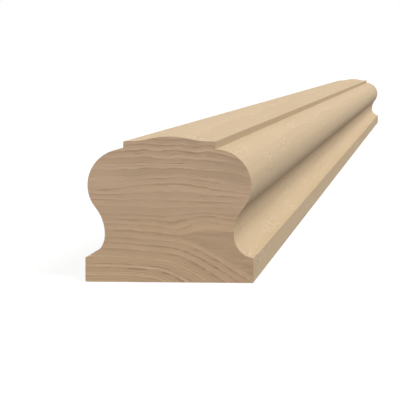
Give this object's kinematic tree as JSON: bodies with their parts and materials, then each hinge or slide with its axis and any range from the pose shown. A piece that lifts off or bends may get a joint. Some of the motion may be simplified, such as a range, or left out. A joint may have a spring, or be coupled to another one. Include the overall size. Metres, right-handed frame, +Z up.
{
  "type": "handrail",
  "caption": "Straight moulded wooden stair handrail with a raised crown, round shoulders, a hollowed neck for the fingers on both sides and a flat square-sided base.",
  "frame": {"origin": "middle of the flat underside, half way along the rail", "axes": "+Y along the rail, +X across it, +Z up from the underside to the crown"},
  "size_m": [0.0698, 2.4384, 0.0603],
  "materials": {
    "wood": "unfinished pale close-grained hardwood, planed and lightly sanded, with sawn ends"
  },
  "bodies": {
    "root": {"handrail": "wood"}
  },
  "joints": []
}
